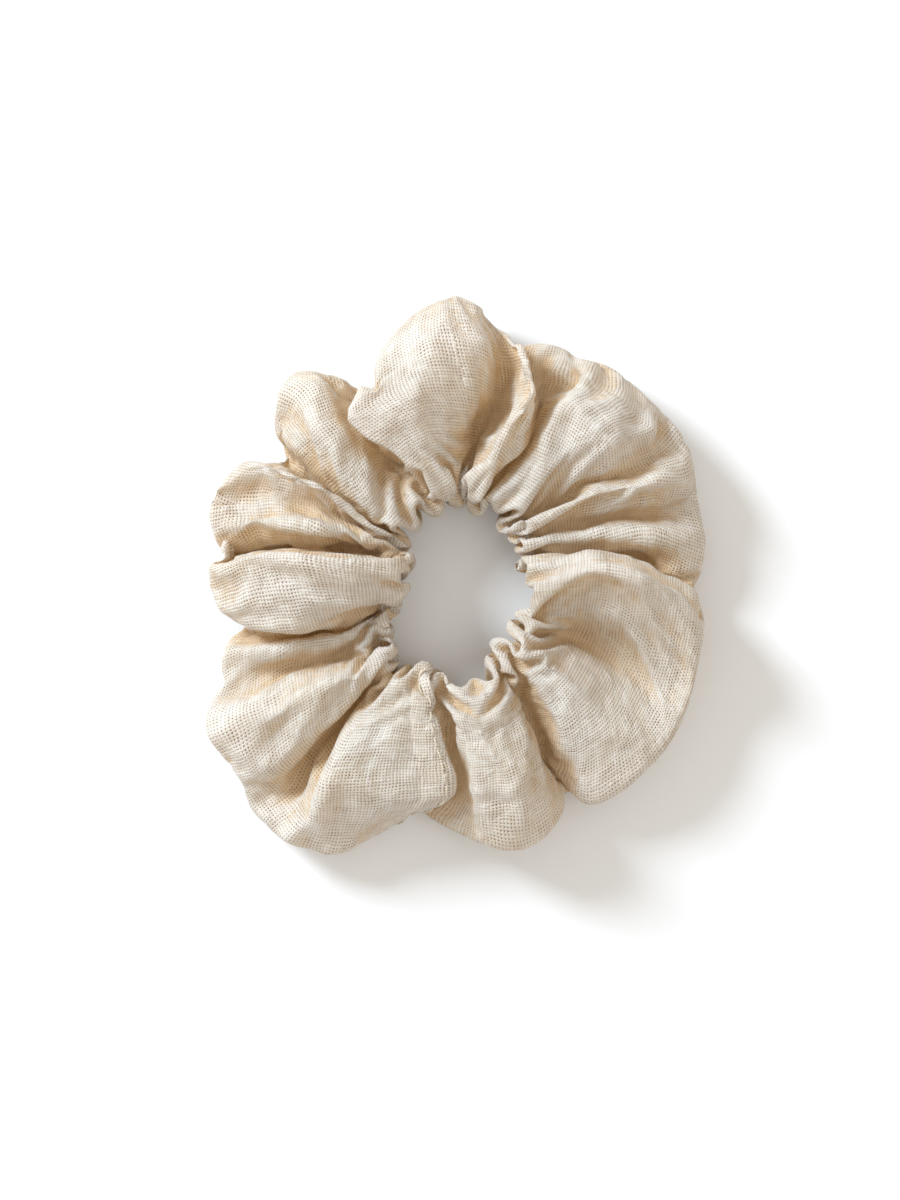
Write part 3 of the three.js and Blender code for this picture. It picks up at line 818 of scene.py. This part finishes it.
# ---- meshes ----
def grid_mesh(name, points, u, v, around, material, normals=None, painted_fold_shade=None, caps=False):
    """A mesh over a grid of points in mm. u and v are each point's place on the flat cloth, in mm.
    With `around`, the last row meets the first, and u and v have one more column than the points."""
    nu, nv = points.shape[:2]
    i, j = np.meshgrid(np.arange(nu - 1), np.arange(nv if around else nv - 1), indexing="ij")
    i, j = i.ravel(), j.ravel()
    corners = [(i, j), (i + 1, j), (i + 1, j + 1), (i, j + 1)]
    faces = np.stack([a * nv + b % nv for a, b in corners], -1)
    uv = np.stack([np.stack([u[a, np.minimum(b, u.shape[1] - 1)], v[a, b]], -1) for a, b in corners], 1)
    p = points.reshape(-1, 3)
    facing = np.cross(p[faces[:, 2]] - p[faces[:, 0]], p[faces[:, 3]] - p[faces[:, 1]])
    if normals is not None:
        outwards = normals.reshape(-1, 3)[faces[:, 0]]
    elif around:
        outwards = p[faces].mean(1) - points.mean(1)[i]
    else:
        outwards = np.array([[0, 0, 1.0]])
    if (facing * outwards).sum() < 0:
        faces, uv = faces[:, ::-1], uv[:, ::-1]
    faces = faces.tolist()
    uv = uv.reshape(-1, 2)
    if caps:
        ends = [list(range(nv)), list(range((nu - 1) * nv, nu * nv))]
        faces += [ends[0][::-1], ends[1]]
        uv = np.concatenate([uv, np.zeros((2 * nv, 2))])
    mesh = bpy.data.meshes.new(name)
    mesh.from_pydata((p * MM).tolist(), [], faces)
    mesh.uv_layers.new(name="cloth").data.foreach_set("uv", (uv * MM).astype(np.float32).ravel())
    mesh.polygons.foreach_set("use_smooth", np.ones(len(mesh.polygons), dtype=bool))
    # the painted fold shade, kept on the mesh's points for the cloth's colour
    if painted_fold_shade is not None:
        layer = mesh.attributes.new("painted_fold_shade", "FLOAT", "POINT")
        layer.data.foreach_set("value", painted_fold_shade.astype(np.float32).ravel())
    if normals is not None:
        mesh.normals_split_custom_set_from_vertices(normals.reshape(-1, 3).tolist())
    mesh.materials.append(material)
    piece = bpy.data.objects.new(name, mesh)
    bpy.context.collection.objects.link(piece)
    return piece


def tube_mesh(name, path, radius, material, sides=6):
    """A round thread along a path of points in mm, with closed ends."""
    along = np.gradient(path, axis=0)
    along /= np.linalg.norm(along, axis=1, keepdims=True)
    side = np.zeros_like(path)
    side[0] = np.cross(along[0], (0.3, 0.2, 1.0))
    for k in range(len(path)):
        side[k] = side[max(k - 1, 0)] - along[k] * (side[max(k - 1, 0)] @ along[k])
        side[k] /= np.linalg.norm(side[k])
    up = np.cross(along, side)
    a = 2 * np.pi * np.arange(sides) / sides
    around = side[:, None] * np.cos(a)[None, :, None] + up[:, None] * np.sin(a)[None, :, None]
    points = path[:, None] + radius * around
    run = np.append(0, np.cumsum(np.linalg.norm(np.diff(path, axis=0), axis=1)))
    u = np.repeat(run[:, None], sides + 1, 1)
    v = np.repeat(np.linspace(0, 2 * np.pi * radius, sides + 1)[None], len(path), 0)
    return grid_mesh(name, points, u, v, True, material, caps=True)


def bends(piece, slot, *nodes):
    """The piece stands for those CAD nodes, which are hidden, and its transform is baked into its mesh."""
    if nodes:
        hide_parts(*nodes)
    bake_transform(piece)


# ---- the cover ----
# The closing seam: the end of the tube on one side is folded in and lies over the other end. The
# folded end's section, from inside to the edge and back under: mm along the cloth, and mm above it.
HEM = [(-7.0, -0.10), (-6.2, 0.25), (-4.5, 0.50), (-3.0, 0.62), (-1.5, 0.72), (-0.4, 0.85), (0.3, 0.98),
       (0.72, 0.90), (0.86, 0.66), (0.72, 0.40), (0.2, 0.24), (-1.4, 0.04)]
v = np.linspace(4.0, CLOTH_GIRTH - 4.0, 190)
hem_u = seam_u(v)[:, None] + np.array([d for d, _ in HEM])[None]
hem_v = np.repeat(v[:, None], len(HEM), 1)
hem_normal = on_cloth(NORMALS, hem_u, hem_v)
hem_points = on_cloth(SURFACE, hem_u, hem_v) + np.array([h for _, h in HEM])[None, :, None] * hem_normal
hem_points[..., 2] = np.maximum(hem_points[..., 2], 0)
hem = grid_mesh("closing_hem", hem_points, hem_u, hem_v, False, COTTON,
                painted_fold_shade=on_cloth(FOLD_SHADE_MASK, hem_u, hem_v))
bends(hem, "cotton")


def columns_of(field, first, last):
    """The columns of a field of the fine grid from first to last."""
    return field[np.arange(first, last + 1) % FINE_U]


v_all = np.arange(FINE_V + 1) / FINE_V * CLOTH_GIRTH
for k in range(SECTORS):
    first, last = k * FINE_U // SECTORS, (k + 1) * FINE_U // SECTORS
    u = np.repeat((np.arange(first, last + 1) / FINE_U * CLOTH_LENGTH)[:, None], FINE_V + 1, 1)
    v = np.repeat(v_all[None], last + 1 - first, 0)
    sector = grid_mesh("cover_%02d" % (k + 1), columns_of(SURFACE, first, last), u, v, True, COTTON,
                       columns_of(NORMALS, first, last), columns_of(FOLD_SHADE_MASK, first, last))
    bends(sector, "cotton", *(("cover_left", "cover_right") if k == 0 else ("cover_left",)))


# ---- the elastic ----
# The ends meet at SEAM_ANGLE. In degrees: half the gap there, the way to the lap, and on to the tack.
SEAM_ANGLE, HALF_GAP, LAP_SETBACK, TACK_SETBACK = 261, 0.3, 4, 6
OUTSIDE, LAP_GAP, TACK_GAP = 0.4, 0.3, 0.35  # mm from the gathered ring, to the lap, and to the tack
LAP_LENGTH = 12.0
ZIGZAGS, ZIGZAG_REACH, TACK_RADIUS = 4, 0.38, 0.3
# The band's section: shares of its thickness outwards, and of its width up.
SECTION = [(0, -0.5), (0.08, -0.44), (0.5, -0.5), (0.92, -0.44), (1, -0.4), (1, 0.4),
           (0.92, 0.44), (0.5, 0.5), (0.08, 0.44), (0, 0.5), (0, 0.25), (0, -0.25)]


def band(name, first, last, lift):
    """A stretch of the elastic, standing on edge, `lift` outside the gathered cloth."""
    degrees = np.arange(first, last + 0.5, 1.5)
    a = np.radians(degrees)[:, None]
    r = ring_reach(a) + lift + np.array([p[0] for p in SECTION])[None] * ELASTIC_THICKNESS
    z = ELASTIC_Z + np.array([p[1] for p in SECTION])[None] * ELASTIC_WIDTH + 0 * a
    points = np.stack([RING_CENTRE[0] + r * np.cos(a), RING_CENTRE[1] + r * np.sin(a), z], -1)
    run = np.append(0, np.cumsum(np.linalg.norm(np.diff(points.mean(1), axis=0), axis=1)))
    u = np.repeat(run[:, None], len(SECTION) + 1, 1)
    v = np.concatenate([z, z[:, :1]], 1)
    return grid_mesh(name, points, u, v, True, BRAID, caps=True)


lap_last = SEAM_ANGLE - LAP_SETBACK
lap_first = lap_last - math.degrees(LAP_LENGTH / RING_X)
elastic = band("elastic", SEAM_ANGLE - 360 + HALF_GAP, SEAM_ANGLE - HALF_GAP, OUTSIDE)
bends(elastic, "elastic", "elastic_left", "elastic_right")
lap = band("elastic_lap", lap_first, lap_last, OUTSIDE + ELASTIC_THICKNESS + LAP_GAP)
bends(lap, "elastic", "elastic_lap_end")

t = np.linspace(0, 1, 90)
a = np.radians(lap_first + TACK_SETBACK + t * (lap_last - lap_first - 2 * TACK_SETBACK))
r = ring_reach(a) + OUTSIDE + 2 * ELASTIC_THICKNESS + LAP_GAP + TACK_GAP
z = ELASTIC_Z + ZIGZAG_REACH * ELASTIC_WIDTH * (2 * np.abs(2 * ((t * ZIGZAGS) % 1) - 1) - 1)
path = np.stack([RING_CENTRE[0] + r * np.cos(a), RING_CENTRE[1] + r * np.sin(a), z], -1)
bends(tube_mesh("elastic_tack", path, TACK_RADIUS, SEWING), "thread", "elastic_tack")

# ---- the seams' threads ----
SIDE_STITCH, CLOSING_STITCH = 3.2, 3.4
SIDE_THREAD, CLOSING_THREAD = 0.14, 0.17  # radii

# The long seam closes the strip into a tube. It lies inside, over the underside.
u = np.linspace(0.0, CLOTH_LENGTH, 900)
v = np.full_like(u, CLOTH_GIRTH * 0.72)
under = 0.25 + 0.12 * np.sin(2 * np.pi * u / SIDE_STITCH)
path = on_cloth(SURFACE, u, v) - under[:, None] * on_cloth(NORMALS, u, v)
bends(tube_mesh("side_seam", path, SIDE_THREAD, SEWING), "thread", "side_seam_left", "side_seam_right")

# The closing seam runs round the tube near the hem's edge, in stitches over the hem and into it.
v = np.linspace(7.0, CLOTH_GIRTH - 7.0, 700)
u = seam_u(v) - 1.5
over = 0.74 + 0.34 * np.clip(2.2 * np.sin(2 * np.pi * v / CLOSING_STITCH) + 0.5, -1, 1)
path = on_cloth(SURFACE, u, v) + over[:, None] * on_cloth(NORMALS, u, v)
path[:, 2] = np.maximum(path[:, 2], 0.2)
bends(tube_mesh("closing_seam", path, CLOSING_THREAD, SEWING), "thread", "closing_seam")

# ---- floor, light and camera ----
bpy.ops.mesh.primitive_plane_add(size=3.0, location=(0, 0, 0))
floor = bpy.context.object
floor.name = "floor"
paper = Nodes("floor")
mottle = paper.noise(paper.new("ShaderNodeTexCoord").outputs["Object"], 6.0, 3)
pale = paper.mix(mottle, (0.895, 0.92, 0.955, 1), (0.905, 0.93, 0.965, 1))
floor.data.materials.append(paper.finish(paper.surface(pale, 0.9, paper.bump(mottle, 0.0002, 0.1), 0.1)))


def lamp(name, place, size, watts, colour):
    """A round lamp that faces the scrunchie."""
    light = bpy.data.lights.new(name, "AREA")
    light.shape = "DISK"
    light.size = size
    light.energy = watts
    light.color = colour
    holder = bpy.data.objects.new(name, light)
    bpy.context.collection.objects.link(holder)
    holder.location = place
    holder.rotation_euler = (Vector((0, 0, 0.01)) - Vector(place)).to_track_quat("-Z", "Y").to_euler()


lamp("key", (-0.85, 0.66, 0.62), 0.42, 17.0, (0.89, 0.97, 1.04))
lamp("fill", (0.6, -0.3, 1.1), 0.9, 2.0, (1.0, 0.93, 0.82))
world = bpy.data.worlds.new("studio")
bpy.context.scene.world = world
world.use_nodes = True
world.node_tree.nodes["Background"].inputs["Color"].default_value = (1.0, 0.935, 0.85, 1)
world.node_tree.nodes["Background"].inputs["Strength"].default_value = 0.68

CAMERA_HEIGHT = 0.9
MIDDLE_HEIGHT = 0.014  # of the folds that the framing is set for
FIELD = 0.1962         # the picture's width at that height
camera = bpy.data.cameras.new("camera")
camera.sensor_fit = "HORIZONTAL"
camera.sensor_width = 36.0
camera.lens = 36.0 * (CAMERA_HEIGHT - MIDDLE_HEIGHT) / FIELD
camera.clip_start = 0.05
camera.clip_end = 10
viewer = bpy.data.objects.new("camera", camera)
bpy.context.collection.objects.link(viewer)
viewer.location = (-0.76 * MM, -4.7 * MM, CAMERA_HEIGHT)
bpy.context.scene.camera = viewer
bpy.context.scene.view_settings.view_transform = "Standard"
